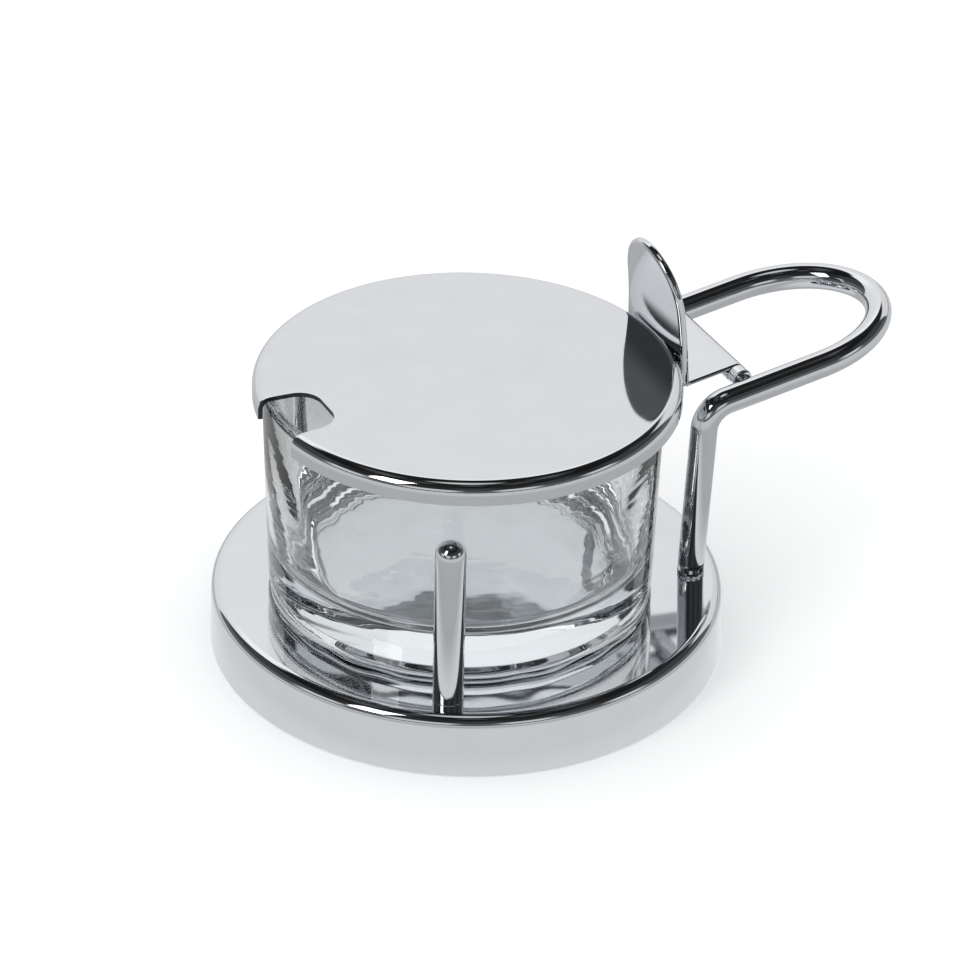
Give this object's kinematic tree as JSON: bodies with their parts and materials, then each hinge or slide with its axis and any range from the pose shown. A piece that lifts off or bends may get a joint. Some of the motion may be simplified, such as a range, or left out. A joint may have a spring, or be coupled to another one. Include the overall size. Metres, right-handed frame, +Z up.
{
  "type": "cheese container",
  "caption": "Table cheese container: round polished steel base with posts and a bent-rod handle, clear glass jar, and a hinged lid with a thumb tab and a spoon slot.",
  "frame": {"origin": "centre of the round resting face under the base", "axes": "+X towards the handle loop, +Z up"},
  "size_m": [0.1556, 0.1108, 0.086],
  "materials": {
    "polished_steel": "mirror-polished stainless steel",
    "plain_steel": "plain steel",
    "jar_glass": "clear, smooth",
    "pad_rubber": "matt"
  },
  "bodies": {
    "base": {"base_shell": "polished_steel", "base_plate": "plain_steel", "base_pad": "pad_rubber", "front_post": "polished_steel", "rear_post": "polished_steel", "post_screws": "plain_steel", "stem_screws": "plain_steel", "screw_washers": "plain_steel", "handle_rod": "polished_steel", "hinge_pin": "polished_steel", "hinge_spacers": "polished_steel"},
    "jar": {"glass_jar": "jar_glass"},
    "lid": {"lid": "polished_steel", "thumb_tab": "polished_steel", "hinge_leaf": "polished_steel"}
  },
  "joints": [
    {"name": "lid_hinge", "type": "hinge", "parent": "base", "child": "lid", "pos_m": [0.0572, 0, 0.0569], "axis": [0, 1, 0], "range_deg": [0, 100]},
    {"name": "jar_turn", "type": "hinge", "parent": "base", "child": "jar", "pos_m": [-0.0016, 0, 0.0144], "axis": [0, 0, 1], "continuous": true}
  ]
}
